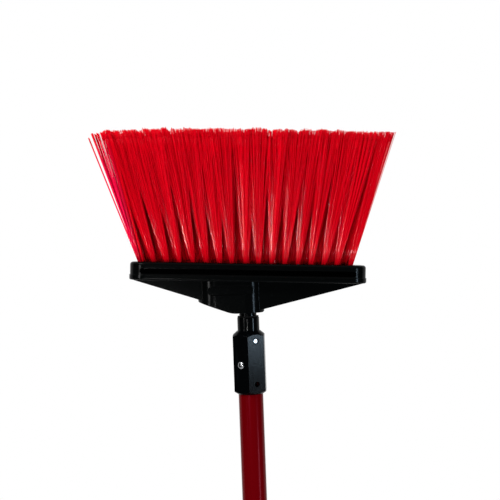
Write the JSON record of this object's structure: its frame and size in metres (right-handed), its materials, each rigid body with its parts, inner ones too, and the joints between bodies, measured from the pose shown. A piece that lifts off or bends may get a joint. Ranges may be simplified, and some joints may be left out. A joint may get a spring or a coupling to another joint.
{
  "type": "broom",
  "caption": "Upright broom with flared red bristles in a black moulded block, screwed onto a round dark red handle through a hexagonal ferrule with a threaded tip.",
  "frame": {"origin": "point on the handle's axis, below the ferrule, where a wall clip grips the bare handle", "axes": "+Z along the handle towards the bristle tips, -Y out of the front of the block, +X to the right seen from the front"},
  "size_m": [0.304, 0.069, 1.4171],
  "materials": {
    "bristle_red": "glossy translucent filament",
    "block_black": "fine moulded texture with a dull sheen",
    "ferrule_black": "satin",
    "tip_black": "gloss",
    "washer_black": "matt",
    "handle_red": "gloss enamel",
    "cap_black": "satin",
    "pin_steel": "bright ground",
    "rivet_bright": "bright, lightly scuffed",
    "mandrel_steel": "broken stem, dull",
    "staple_steel": "galvanised"
  },
  "bodies": {
    "handle": {"handle_tube": "handle_red", "end_cap": "cap_black", "hex_ferrule": "ferrule_black", "threaded_tip": "tip_black", "tip_pin": "pin_steel", "rivet_bodies": "rivet_bright", "rivet_mandrels": "mandrel_steel"},
    "washer": {"thread_washer": "washer_black"},
    "head": {"broom_block": "block_black", "tuft_staples": "staple_steel", "front_bristle_row": "bristle_red", "front_middle_bristle_row": "bristle_red", "back_middle_bristle_row": "bristle_red", "back_bristle_row": "bristle_red"}
  },
  "joints": [
    {"name": "head_turn", "type": "hinge", "parent": "handle", "child": "washer", "pos_m": [0, 0, 0.335], "axis": [0, 0, 1], "range_deg": [0, 1800]},
    {"name": "head_travel", "type": "slide", "parent": "washer", "child": "head", "axis": [0, 0, 1], "range_m": [0, 0.02541]}
  ],
  "couplings": [
    {"joint": "head_travel", "follows": "head_turn", "m_per_rad": 0.00080851}
  ]
}
